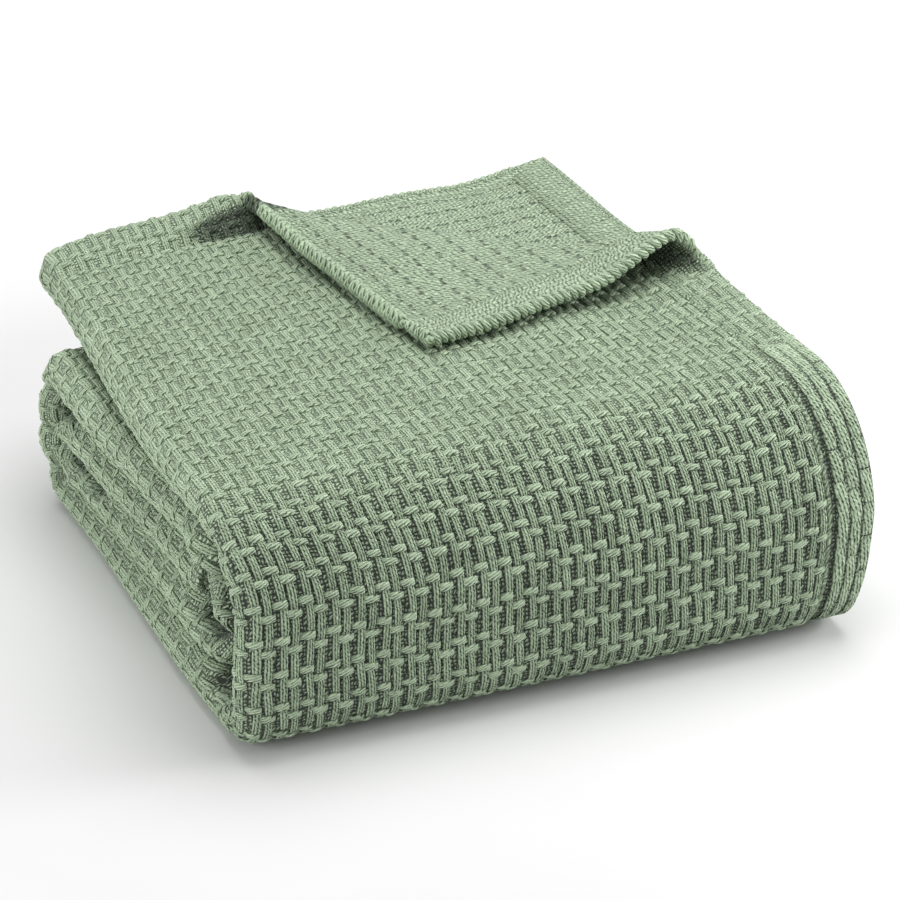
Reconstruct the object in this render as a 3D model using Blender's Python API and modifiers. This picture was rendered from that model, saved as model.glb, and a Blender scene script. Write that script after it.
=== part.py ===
"""A cotton throw blanket, folded in four across its width and then rolled flat into a pile.

The cloth is one sheet. It is laid out flat as a grid with a line at every bend, and each point is
then carried to its place in the pile: across the width by the four panels, along the length by the
five straps of the flat roll, and at the top right rear corner by the corner that is turned back.
X runs along the front of the pile, Y away from it and Z up. The origin is under its middle.
"""

import math

import bpy
import bmesh
import numpy as np
from mathutils import Vector

# The cloth
CLOTH_WIDTH = 1.270        # side hem to side hem
CLOTH_LENGTH = 1.524       # end hem to end hem
CLOTH_THICKNESS = 0.0042
LAYER_PITCH = 0.0057       # middle of one layer to the middle of the next
GREEN = (0.262, 0.352, 0.236, 1.0)

# The folds across the width: four layers, two folds inside one another at the left,
# two side hems and one fold at the right
OUTER_FOLD_RADIUS = 1.5 * LAYER_PITCH
INNER_FOLD_RADIUS = 0.5 * LAYER_PITCH
MIDDLE_FOLD_INSET = 0.004  # how far the fold at the right stays inside the hems
LEFT_END_X = -0.161
OUTER_FOLD_STEPS = 6
INNER_FOLD_STEPS = 5

# Cells across each panel, from the top layer's side hem to the second layer's side hem
PANEL_CELLS = {"top": 15, "bottom": 5, "third": 5, "second": 5}

# The straps of the flat roll, in the order that the cloth runs through them.
# level: place in the stack from the floor; rear and front: Y of the strap's ends
STRAPS = (
    # name, level, rear, front, cells
    ("first", 4, 0.182, -0.116, 11),
    ("fifth", 0, 0.110, -0.140, 4),
    ("second", 3, 0.106, -0.112, 4),
    ("fourth", 1, 0.086, -0.120, 4),
    ("third", 2, 0.086, None, 4),
)
STRAP_PITCH = 4 * LAYER_PITCH + 0.0004
STACK_HEIGHT = len(STRAPS) * STRAP_PITCH
FREE_STRAP_LENGTH = STRAPS[0][2] - STRAPS[0][3]
LOWEST_PATH = 1.5 * LAYER_PITCH + CLOTH_THICKNESS / 2.0  # the middle of the lowest strap

# The turns between the straps. reach: how far the middle of the cloth runs past the strap's end;
# squareness above and below: 2 is round, more is squarer
TURNS = (
    # name, reach, above, below, cells
    ("outer front", 0.0435, 2.3, 3.6, 10),
    ("outer rear", 0.020, 2.4, 2.4, 7),
    ("inner front", 0.022, 2.2, 2.2, 6),
    ("inner rear", 0.0118, 2.0, 2.0, 5),
)
TURN_POINTS = 240

# The corner turned back on the top layer: how far the crease starts from the corner
CREASE_ALONG_REAR = 0.200
CREASE_ALONG_SIDE = 0.188
CURL_RADIUS_MIDDLE = 0.0055
CURL_RADIUS_ENDS = 0.0118
CURL_WIDEST = 1.15         # how far past its ends the curl still widens
CURL_LINES = (0.0, 0.0043, 0.0086, 0.0130, 0.0185)  # cuts to either side of the crease
CURL_MERGE = 0.0030        # points of the cuts closer than this become one
FLAP_SETTLE = 0.105        # the length over which the turned corner comes down on the cloth
FLAP_SLANT = 0.20          # how far the loose weave lets the turned corner slide along the crease
FLAP_STRETCH = 1.034       # and how much it lengthens it

# Where the top layer stands up beside the turned corner
REAR_RISE_LEFT = 0.004
REAR_RISE_CURL = 0.013
REAR_RISE_DEPTH = 0.042
REAR_RISE_NARROWING = 0.35  # the share of that depth lost on the way to the corner
SIDE_RISE = 0.004
SIDE_RISE_LENGTH = 0.070
SIDE_RISE_PEAK = 0.35      # where it stands highest, as a share of that length
SIDE_RISE_DEPTH = 0.050
RISE_CLEAR = 0.002         # the rises end this far before the crease
RISE_FADE = 0.028

# How the pile leans, in plan
SKEW = 0.088               # how far the ends lean to the right for each metre to the rear
FAN = 0.39                 # how much deeper the pile is for each metre to the right
MIDDLE = (-0.0007, -0.0015)  # the middle of the pile's outline, moved to the origin

# How the four lower straps differ from the top one at the left end
LEFT_DEPTH = 0.25          # how far from the left end the difference reaches
LOW_LEFT_SKEW = 0.25       # the share of the skew that they have
LOW_LEFT_SWELL = 0.006     # how far they reach past the top strap
LOW_LEFT_FROM = 0.774      # the gap under the top strap, as a share of the stack's height
LOW_LEFT_GAP = 0.016       # how tall that gap is
LOW_LEFT_BLEND = 0.40      # how tall the change is where the front turn joins them
LOW_LEFT_BLEND_Y = -0.03
LOW_LEFT_BLEND_DEPTH = 0.08
LEFT_RIPPLE = 0.0020       # how far the folds there wander sideways

# How the right end and the top swell
HEM_SWELL = 0.07           # how much taller the hems make the right end
HEM_SWELL_LENGTH = 0.062   # the last cell of each panel
LOW_RIGHT_TUCK = 0.009     # how far the lower half stays inside the hems
REAR_LIFT = 0.004          # how far the top strap's free end stands up
REAR_LIFT_Y = 0.09
REAR_LIFT_LEVEL = 0.6
TOP_CROWN = 0.002
TOP_CROWN_LENGTH = 0.34
LAYER_WAVE = 0.0012

FINE_STEP = 0.0005         # spacing of the points that the strap path is measured by


def turn_points(start, end, reach, above, below, side):
    """Half of a rounded rectangle from start to end, swelling to one side, as (y, z) points."""
    angles = np.linspace(0.0, math.pi, TURN_POINTS)
    upper = np.cos(angles) * (start[1] - end[1]) > 0.0
    squareness = np.where(upper, above, below)
    swell = np.sin(angles) ** (2.0 / squareness)
    rise = np.sign(np.cos(angles)) * np.abs(np.cos(angles)) ** (2.0 / squareness)
    along = (1.0 - np.cos(angles)) / 2.0
    y = start[0] + (end[0] - start[0]) * along + side * reach * swell
    z = (start[1] + end[1]) / 2.0 + (start[1] - end[1]) / 2.0 * rise
    return np.column_stack((y, z))


class StrapPath:
    """The middle line of the four layers, from the free end on top to the end inside the roll."""

    def __init__(self):
        pieces = []
        self.marks = []
        length = 0.0
        for index, (_, level, rear, front, cells) in enumerate(STRAPS):
            forward = index % 2 == 0
            z = LOWEST_PATH + level * STRAP_PITCH
            start = rear if forward else front
            end = front if forward else rear
            if index == len(STRAPS) - 1:
                end = start - (CLOTH_LENGTH - length)
            pieces.append(np.array([[start, z], [end, z]]))
            length += abs(end - start)
            self.marks.append((length, cells))
            if index < len(TURNS):
                _, reach, above, below, turn_cells = TURNS[index]
                _, next_level, next_rear, next_front, _ = STRAPS[index + 1]
                after = (next_front if forward else next_rear, LOWEST_PATH + next_level * STRAP_PITCH)
                side = -1.0 if forward else 1.0
                turn = turn_points((end, z), after, reach, above, below, side)
                pieces.append(turn)
                length += np.linalg.norm(np.diff(turn, axis=0), axis=1).sum()
                self.marks.append((length, turn_cells))
        points = np.vstack(pieces)
        steps = np.linalg.norm(np.diff(points, axis=0), axis=1)
        points = points[np.concatenate(([True], steps > 1e-9))]
        at = np.concatenate(([0.0], np.cumsum(np.linalg.norm(np.diff(points, axis=0), axis=1))))
        self.at = np.arange(0.0, at[-1], FINE_STEP)
        self.y = np.interp(self.at, at, points[:, 0])
        self.z = np.interp(self.at, at, points[:, 1])
        self.tangent_y = np.gradient(self.y, self.at)
        self.tangent_z = np.gradient(self.z, self.at)

    def stations(self):
        """Places along the cloth for the grid's lines: even in each strap and in each turn."""
        places = [0.0]
        for end, cells in self.marks:
            start = places[-1]
            places += [start + (end - start) * step / cells for step in range(1, cells + 1)]
        return places

    def place(self, along, offset):
        """The (y, z) of a point at a distance along the path and off its middle, outwards."""
        y = np.interp(along, self.at, self.y)
        z = np.interp(along, self.at, self.z)
        ty = np.interp(along, self.at, self.tangent_y)
        tz = np.interp(along, self.at, self.tangent_z)
        size = math.hypot(ty, tz)
        return y + offset * tz / size, z - offset * ty / size


class WidthFold:
    """The four panels across the width, as places along X and off the middle of the strap."""

    def __init__(self):
        folds = math.pi * (OUTER_FOLD_RADIUS + 2.0 * INNER_FOLD_RADIUS)
        ends = 5.0 * OUTER_FOLD_RADIUS - 1.5 * LAYER_PITCH + INNER_FOLD_RADIUS
        ends += INNER_FOLD_RADIUS + 2.0 * MIDDLE_FOLD_INSET
        self.length = (CLOTH_WIDTH - folds + ends) / 4.0
        left = OUTER_FOLD_RADIUS
        right = self.length - MIDDLE_FOLD_INSET - INNER_FOLD_RADIUS
        outer, inner = OUTER_FOLD_RADIUS, INNER_FOLD_RADIUS
        # kind, from x, to x, level at the start, level at the end, cells
        self.runs = (
            ("flat", self.length, left, outer, outer, PANEL_CELLS["top"]),
            ("fold", left, left, outer, -outer, OUTER_FOLD_STEPS),
            ("flat", left, right, -outer, -outer, PANEL_CELLS["bottom"]),
            ("fold", right, right, -outer, -inner, INNER_FOLD_STEPS),
            ("flat", right, left, -inner, -inner, PANEL_CELLS["third"]),
            ("fold", left, left, -inner, inner, INNER_FOLD_STEPS),
            ("flat", left, self.length, inner, inner, PANEL_CELLS["second"]),
        )

    def run_length(self, run):
        kind, start, end, low, high, _ = run
        return abs(end - start) if kind == "flat" else math.pi * abs(high - low) / 2.0

    def stations(self):
        """Places across the cloth for the grid's lines: even in each panel and each fold."""
        places = [0.0]
        for run in self.runs:
            start, size, cells = places[-1], self.run_length(run), run[5]
            places += [start + size * step / cells for step in range(1, cells + 1)]
        return places

    def place(self, across):
        """The distance from the left end and the offset of a point across the width."""
        for run in self.runs:
            kind, start, end, low, high, _ = run
            size = self.run_length(run)
            if across <= size + 1e-9 or run is self.runs[-1]:
                break
            across -= size
        share = across / size
        if kind == "flat":
            return start + (end - start) * share, low
        radius = abs(high - low) / 2.0
        side = -1.0 if start < self.length / 2.0 else 1.0
        return (start + side * radius * math.sin(math.pi * share),
                (low + high) / 2.0 + (low - high) / 2.0 * math.cos(math.pi * share))


def smooth(value):
    """An S-shaped ramp from 0 to 1."""
    value = min(max(value, 0.0), 1.0)
    return value * value * (3.0 - 2.0 * value)


class TurnedCorner:
    """The rear right corner of the top layer, rolled back over a slanting crease."""

    def __init__(self, pack_length):
        self.corner = Vector((pack_length, 0.0))
        self.rear = Vector((pack_length - CREASE_ALONG_REAR, 0.0))
        self.side = Vector((pack_length, CREASE_ALONG_SIDE))
        self.crease = (self.side - self.rear).normalized()
        self.out = Vector((self.crease.y, -self.crease.x))
        self.crease_length = (self.side - self.rear).length

    def reach(self, x, back):
        """How far a point lies past the crease, and its place along it from -1 to 1."""
        from_rear = Vector((x, back)) - self.rear
        along = 2.0 * from_rear.dot(self.crease) / self.crease_length - 1.0
        return from_rear.dot(self.out), along

    def bend(self, x, back):
        """Where a point of the top layer goes: its new x and distance from the rear, and its lift."""
        past, along = self.reach(x, back)
        share = min(abs(along), CURL_WIDEST)
        radius = CURL_RADIUS_MIDDLE + (CURL_RADIUS_ENDS - CURL_RADIUS_MIDDLE) * share ** 3
        start = -math.pi * radius / 2.0
        if past <= start:
            return x, back, 0.0
        angle = min((past - start) / radius, math.pi)
        lift = radius * (1.0 - math.cos(angle))
        over = start + radius * math.sin(angle)
        beyond = max(past - start - math.pi * radius, 0.0)
        if beyond > 0.0:
            over -= beyond * FLAP_STRETCH
            lift -= (2.0 * radius - LAYER_PITCH) * smooth(beyond / FLAP_SETTLE)
        moved = Vector((x, back)) + self.out * (over - past) + self.crease * beyond * FLAP_SLANT
        return moved.x, moved.y, lift


def top_rise(x, back, corner, length):
    """How far the top layer stands off the one beneath it, beside the turned corner."""
    past, _ = corner.reach(x, back)
    fade = smooth(-(past + RISE_CLEAR) / RISE_FADE)
    share = min(max(x / corner.rear.x, 0.0), 1.0)
    edge = REAR_RISE_LEFT + (REAR_RISE_CURL - REAR_RISE_LEFT) * share ** 2
    depth = REAR_RISE_DEPTH * (1.0 - REAR_RISE_NARROWING * share)
    rear = edge * (1.0 - smooth(back / depth))
    from_peak = (back - corner.side.y) / SIDE_RISE_LENGTH - SIDE_RISE_PEAK
    side = SIDE_RISE * math.exp(-(2.0 * from_peak) ** 2)
    side *= 1.0 - smooth((length - x) / SIDE_RISE_DEPTH)
    return (rear + side) * fade


def settle(x, y, z, length):
    """Lean and swell the whole pile, leaving its underside flat."""
    off_floor = z - CLOTH_THICKNESS / 2.0
    up = off_floor / STACK_HEIGHT
    left = 1.0 - smooth((x - LEFT_END_X) / LEFT_DEPTH)
    right = max((x - LEFT_END_X - length) / HEM_SWELL_LENGTH + 1.0, 0.0)
    blend = smooth((LOW_LEFT_BLEND_Y - y) / LOW_LEFT_BLEND_DEPTH)
    spread = LOW_LEFT_GAP + LOW_LEFT_BLEND * blend
    low_left = left * smooth((LOW_LEFT_FROM - up) / spread + 0.5)
    x_out = x + SKEW * y * (1.0 - (1.0 - LOW_LEFT_SKEW) * low_left) - LOW_LEFT_SWELL * low_left
    x_out += LEFT_RIPPLE * left * math.sin(55.0 * z + 17.0 * y)
    x_out -= LOW_RIGHT_TUCK * right * (1.0 - smooth(2.0 * up))
    y_out = y * (1.0 + FAN * x)
    crown = TOP_CROWN * up * (1.0 - (2.0 * x / TOP_CROWN_LENGTH) ** 2) * math.cos(8.0 * y)
    wave = LAYER_WAVE * math.sin(21.0 * x + 9.0 * y + 0.6) * math.sin(3.0 * up)
    lift = REAR_LIFT * smooth((up - REAR_LIFT_LEVEL) / 0.3) * smooth(y / REAR_LIFT_Y - 1.0)
    z_out = z + off_floor * HEM_SWELL * right + crown + wave + lift
    return x_out - MIDDLE[0], y_out - MIDDLE[1], z_out


def flat_cloth(across, along):
    """A flat grid with its lines at the given places across and along the cloth."""
    mesh = bmesh.new()
    bmesh.ops.create_grid(mesh, x_segments=len(across) - 1, y_segments=len(along) - 1, size=0.5)
    mesh.verts.ensure_lookup_table()
    for vert in mesh.verts:
        column = round((vert.co.x + 0.5) * (len(across) - 1))
        row = round((vert.co.y + 0.5) * (len(along) - 1))
        vert.co = Vector((across[column], along[row], 0.0))
    return mesh


def cut_curl_lines(mesh, corner, pack_length):
    """Cut the top layer along lines that follow the crease, so that the curl bends cleanly."""
    top_width = pack_length - OUTER_FOLD_RADIUS
    for past in sorted({side * line for line in CURL_LINES for side in (-1.0, 1.0)}):
        point = corner.rear + corner.out * past
        faces = [face for face in mesh.faces
                 if max(vert.co.x for vert in face.verts) < top_width + 1e-6
                 and max(vert.co.y for vert in face.verts) < FREE_STRAP_LENGTH + 1e-6]
        geometry = set(faces)
        for face in faces:
            geometry.update(face.edges)
            geometry.update(face.verts)
        bmesh.ops.bisect_plane(
            mesh, geom=list(geometry), dist=1e-6,
            plane_co=Vector((pack_length - point.x, point.y, 0.0)),
            plane_no=Vector((-corner.out.x, corner.out.y, 0.0)),
        )
    close = [vert for vert in mesh.verts
             if 0.0 < vert.co.x < top_width and 0.0 < vert.co.y < FREE_STRAP_LENGTH
             and abs(corner.reach(pack_length - vert.co.x, vert.co.y)[0]) < CURL_LINES[-1] + 1e-6]
    bmesh.ops.remove_doubles(mesh, verts=close, dist=CURL_MERGE)


def place_cloth(mesh, width_fold, path, corner):
    """Carry each point of the flat cloth to its place in the folded pile."""
    for vert in mesh.verts:
        across, along = vert.co.x, vert.co.y
        x, offset = width_fold.place(across)
        lift = 0.0
        if across < width_fold.length - OUTER_FOLD_RADIUS and along < FREE_STRAP_LENGTH:
            rise = top_rise(x, along, corner, width_fold.length)
            x, along, lift = corner.bend(x, along)
            lift += rise
        y, z = path.place(along, offset + lift)
        vert.co = Vector(settle(x + LEFT_END_X, y, z, width_fold.length))


def cotton():
    material = bpy.data.materials.new("sage cotton")
    material.use_nodes = True
    shader = material.node_tree.nodes["Principled BSDF"]
    shader.inputs["Base Color"].default_value = GREEN
    shader.inputs["Roughness"].default_value = 0.9
    shader.inputs["Metallic"].default_value = 0.0
    return material


def blanket(collection):
    width_fold = WidthFold()
    path = StrapPath()
    corner = TurnedCorner(width_fold.length)
    cloth = flat_cloth(width_fold.stations(), path.stations())
    cut_curl_lines(cloth, corner, width_fold.length)
    place_cloth(cloth, width_fold, path, corner)
    mesh = bpy.data.meshes.new("blanket")
    cloth.to_mesh(mesh)
    cloth.free()
    thing = bpy.data.objects.new("blanket", mesh)
    collection.objects.link(thing)
    shell = thing.modifiers.new("cloth thickness", "SOLIDIFY")
    shell.thickness = CLOTH_THICKNESS
    shell.offset = 0.0
    shell.use_even_offset = True
    mesh.materials.append(cotton())
    return thing


def main():
    for thing in list(bpy.data.objects):
        bpy.data.objects.remove(thing, do_unlink=True)
    collection = bpy.data.collections.new("folded blanket")
    bpy.context.scene.collection.children.link(collection)
    blanket(collection)


main()
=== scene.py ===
"""Looks of a folded cotton throw: the sheet on its folds, the woven floats, the hems and the room.

The cloth is described flat, by how far a point lies across it from the top layer's side hem and
along it from the free end on top, and by its height off the middle of the cloth. Everything
woven is made flat first and is then carried onto the folded pile. Sizes are in metres.
"""

import math

import bpy
import numpy as np
from mathutils import Matrix, Vector


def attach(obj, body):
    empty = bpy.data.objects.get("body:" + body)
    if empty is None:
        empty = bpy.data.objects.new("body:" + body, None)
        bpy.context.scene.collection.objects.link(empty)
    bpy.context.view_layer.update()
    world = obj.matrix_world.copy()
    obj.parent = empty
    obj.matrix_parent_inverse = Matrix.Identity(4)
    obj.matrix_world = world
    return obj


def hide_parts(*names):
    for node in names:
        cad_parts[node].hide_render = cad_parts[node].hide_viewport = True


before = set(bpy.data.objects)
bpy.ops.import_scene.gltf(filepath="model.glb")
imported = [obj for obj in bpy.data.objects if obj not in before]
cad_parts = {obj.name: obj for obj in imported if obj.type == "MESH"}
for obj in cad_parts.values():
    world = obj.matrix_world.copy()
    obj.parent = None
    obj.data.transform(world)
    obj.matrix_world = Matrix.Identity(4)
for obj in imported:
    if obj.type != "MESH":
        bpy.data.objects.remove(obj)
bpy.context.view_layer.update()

# The cloth, as in the construction
CLOTH_WIDTH = 1.270
CLOTH_LENGTH = 1.524
CLOTH_THICKNESS = 0.0042
LAYER_PITCH = 0.0057

OUTER_FOLD_RADIUS = 1.5 * LAYER_PITCH
INNER_FOLD_RADIUS = 0.5 * LAYER_PITCH
MIDDLE_FOLD_INSET = 0.004
LEFT_END_X = -0.161

STRAPS = (
    # name, level, rear, front
    ("first", 4, 0.182, -0.116),
    ("fifth", 0, 0.110, -0.140),
    ("second", 3, 0.106, -0.112),
    ("fourth", 1, 0.086, -0.120),
    ("third", 2, 0.086, None),
)
STRAP_PITCH = 4 * LAYER_PITCH + 0.0004
STACK_HEIGHT = len(STRAPS) * STRAP_PITCH
FREE_STRAP_LENGTH = STRAPS[0][2] - STRAPS[0][3]
LOWEST_PATH = 1.5 * LAYER_PITCH + CLOTH_THICKNESS / 2.0
TURNS = (
    # name, reach, squareness above, squareness below
    ("outer front", 0.0435, 2.3, 3.6),
    ("outer rear", 0.020, 2.4, 2.4),
    ("inner front", 0.022, 2.2, 2.2),
    ("inner rear", 0.0118, 2.0, 2.0),
)
TURN_POINTS = 240
FINE_STEP = 0.0005
NORMAL_STEP = 0.0006       # how far apart points lie that give the cloth's direction

# The corner turned back: where its crease meets the two edges, and how it curls over and lies
CREASE_ALONG_REAR = 0.200
CREASE_ALONG_SIDE = 0.188
CURL_RADIUS_MIDDLE = 0.0055
CURL_RADIUS_SIDE = 0.0118
CURL_RADIUS_REAR = 0.0058
CURL_WIDEST = 1.15
FLAP_SETTLE = 0.105
FLAP_SLANT = 0.20
FLAP_STRETCH = 1.034

# How far the top layer stands off the one beneath, along the rear edge and beside the side edge
REAR_RISE_LEFT = 0.0085
REAR_RISE_CURL = 0.0180
REAR_RISE_DEPTH = 0.026
REAR_RISE_NARROWING = 0.10
SIDE_RISE = 0.004
SIDE_RISE_LENGTH = 0.070
SIDE_RISE_PEAK = 0.35
SIDE_RISE_DEPTH = 0.050
RISE_CLEAR = -0.010
RISE_FADE = 0.022

# How the whole pile leans, fans out, swells and sinks
SKEW = 0.088
FAN = 0.39
MIDDLE = (-0.0007, -0.0015)
LEFT_DEPTH = 0.25
LOW_LEFT_SKEW = 0.25
LOW_LEFT_SWELL = 0.006
LOW_LEFT_FROM = 0.774
LOW_LEFT_GAP = 0.016
LOW_LEFT_BLEND = 0.40
LOW_LEFT_BLEND_Y = -0.03
LOW_LEFT_BLEND_DEPTH = 0.08
LEFT_RIPPLE = 0.0020
HEM_SWELL = 0.07
HEM_SWELL_LENGTH = 0.062
LOW_RIGHT_TUCK = 0.009
REAR_LIFT = 0.004
REAR_LIFT_Y = 0.09
REAR_LIFT_LEVEL = 0.6
TOP_CROWN = 0.002
TOP_CROWN_LENGTH = 0.34
LAYER_WAVE = 0.0012

# Hollows and bulges of the left end, where the folded edges are crumpled
LEFT_HOLLOW_REACH = 0.036
LEFT_HOLLOWS = (
    # along Y, up, half length, half height, lean, depth inwards
    (-0.1410, 0.0720, 0.0090, 0.0150, 0.35, 0.0220),
    (-0.1230, 0.0700, 0.0090, 0.0170, 0.25, -0.0045),
    (-0.1230, 0.0420, 0.0170, 0.0062, -0.40, 0.0180),
    (-0.1380, 0.0190, 0.0120, 0.0060, 0.60, 0.0170),
    (0.0830, 0.0430, 0.0100, 0.0065, 0.60, 0.0170),
    (0.0540, 0.0405, 0.0100, 0.0060, 0.60, 0.0170),
    (0.0950, 0.0640, 0.0160, 0.0050, 0.00, 0.0080),
)
HOLLOW_PLAIN = 0.0060      # deeper than this a hollow has no floats
OUTER_TURN_Y = -0.157      # in front of this the left end has no grooves or hollows
LEFT_CRUMPLE = 0.0003
CRUMPLE_LOW = 0.022
CRUMPLE_HIGH = 0.088
STRAP_GROOVE = 0.0030
STRAP_GROOVE_HEIGHT = 0.0042

# Shade painted into the cloth by the photo, where light alone leaves the depths too bright
HOLLOW_SHADE = 0.85
HOLLOW_SHADE_DEPTH = 0.010
CURL_SHADE = 0.75
CURL_SHADE_START = 0.004
CURL_SHADE_RAMP = 0.014
CURL_MOUTH = 0.060         # this near the side edge the curl's inside is darker still
CURL_MOUTH_SHADE = 0.20
CURL_MOUTH_START = 0.018
VALLEY = (-0.031, 0.1610, 0.042, 0.0095, 0.10)    # middle x and y, half length and width, lean
VALLEY_LOWEST = 0.100
YARN_SHADOW = 0.55         # how much lightness full shade takes from each material
GROUND_SHADOW = 0.60
BACK_SHADOW = 0.50

# The rear left corner of the top strap is soft and sinks a little
SOFT_CORNER = 0.050
SOFT_CORNER_DROP = 0.006
SOFT_CORNER_DRAW = -0.002

# Unevenness of the whole cloth
UNEVEN = 0.0004

# The weave: one repeat holds two weft bars and two warp columns
REPEAT_ACROSS = 0.0121
REPEAT_ALONG = 0.0154
GROUND_HEIGHT = 0.0009     # half the thickness of the plain ground between the floats

# The hems: the edges are turned under once and sewn
SIDE_HEM = 0.025
END_HEM = 0.009
HEM_START = 0.0025         # how far inside the finished edge the cloth begins to turn
HEM_RADIUS = 0.0010        # radius of the turn where layers press on it
OPEN_HEM_RADIUS = 0.0021   # and where it lies open
HEM_TAPER = 0.92           # how much nearer the cut end of the hem lies
HEM_FLATNESS = 0.58        # the weave stands lower on the pressed hem
STITCH_DIP = 0.0019        # how far the seam draws the cloth in
STITCH_DIP_WIDTH = 0.0024
STITCH_STEP = 0.0042
RIBS = ((0.0048, 0.0), (0.0117, 0.5), (0.0186, 0.2))    # across, and the share of a step along
RIB_STEP = 0.0150
RIBS_FROM = 0.286          # beyond this the side hem shows ribs in place of bars
RIM_STEP = 0.0049          # from one stroke of the rolled rim to the next
RIM_SLANT = 0.55

# Strokes of the rims and the sewing: length, width, height at the ends and in the middle
RIM_SIZE = (0.0092, 0.0056, 0.0003, 0.0032)
SECOND_RIM_SIZE = (0.0068, 0.0048, 0.0002, 0.0020)
RIB_SIZE = (1.04 * RIB_STEP, 0.0064, 0.0004, 0.0020)
STITCH_SIZE = (0.0034, 0.0009, 0.0004, 0.0013)
RIM_SIDE_LENGTH = 0.200    # how far the rims and seams run from the corner
RIM_END_LENGTH = 0.215
SECOND_SIDE_LENGTH = 0.300
SECOND_END_FROM = 1.050
FAR_SEAM_LENGTH = 0.200

# Pits of the back: place across and along as shares of the repeat
PITS = ((0.30, 0.19), (0.65, 0.29))
PIT_RADIUS = 0.0021

# Cells of the sheet between one bend or edge and the next
CELLS_ACROSS = (3, 5, 4, 42, 24, 14, 8, 12, 8, 36, 4, 5, 3)
CELLS_ALONG = (2, 5, 12, 34, 48, 26, 20, 22, 18, 20, 12, 16, 5, 2)
REAR_BAND = 0.032          # the rear edge is raised this far in, so its cells are finer

FLOOR_GAP = 0.0001         # how far off z = 0 the lowest points lie
SEED = 7


def smooth(value):
    """An S-shaped ramp from 0 to 1."""
    value = np.clip(value, 0.0, 1.0)
    return value * value * (3.0 - 2.0 * value)


def turn_points(start, end, reach, above, below, side):
    """Half of a rounded rectangle from start to end, swelling to one side, as (y, z) points."""
    angles = np.linspace(0.0, math.pi, TURN_POINTS)
    upper = np.cos(angles) * (start[1] - end[1]) > 0.0
    squareness = np.where(upper, above, below)
    swell = np.sin(angles) ** (2.0 / squareness)
    rise = np.sign(np.cos(angles)) * np.abs(np.cos(angles)) ** (2.0 / squareness)
    along = (1.0 - np.cos(angles)) / 2.0
    y = start[0] + (end[0] - start[0]) * along + side * reach * swell
    z = (start[1] + end[1]) / 2.0 + (start[1] - end[1]) / 2.0 * rise
    return np.column_stack((y, z))


class StrapPath:
    """The middle line of the four layers, from the free end on top to the end inside the roll."""

    def __init__(self):
        pieces = []
        self.ends = []
        length = 0.0
        for index, (_, level, rear, front) in enumerate(STRAPS):
            forward = index % 2 == 0
            z = LOWEST_PATH + level * STRAP_PITCH
            start = rear if forward else front
            end = front if forward else rear
            if index == len(STRAPS) - 1:
                end = start - (CLOTH_LENGTH - length)
            pieces.append(np.array([[start, z], [end, z]]))
            length += abs(end - start)
            self.ends.append(length)
            if index < len(TURNS):
                _, reach, above, below = TURNS[index]
                _, next_level, next_rear, next_front = STRAPS[index + 1]
                after = (next_front if forward else next_rear, LOWEST_PATH + next_level * STRAP_PITCH)
                side = -1.0 if forward else 1.0
                turn = turn_points((end, z), after, reach, above, below, side)
                pieces.append(turn)
                length += np.linalg.norm(np.diff(turn, axis=0), axis=1).sum()
                self.ends.append(length)
        points = np.vstack(pieces)
        steps = np.linalg.norm(np.diff(points, axis=0), axis=1)
        points = points[np.concatenate(([True], steps > 1e-9))]
        at = np.concatenate(([0.0], np.cumsum(np.linalg.norm(np.diff(points, axis=0), axis=1))))
        self.at = np.arange(0.0, at[-1], FINE_STEP)
        self.y = np.interp(self.at, at, points[:, 0])
        self.z = np.interp(self.at, at, points[:, 1])
        self.tangent_y = np.gradient(self.y, self.at)
        self.tangent_z = np.gradient(self.z, self.at)

    def place(self, along, offset):
        """The (y, z) of points at distances along the path and off its middle, outwards."""
        ty = np.interp(along, self.at, self.tangent_y)
        tz = np.interp(along, self.at, self.tangent_z)
        size = np.hypot(ty, tz)
        beyond = along - np.clip(along, self.at[0], self.at[-1])
        y = np.interp(along, self.at, self.y) + beyond * ty
        z = np.interp(along, self.at, self.z) + beyond * tz
        return y + offset * tz / size, z - offset * ty / size


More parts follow.
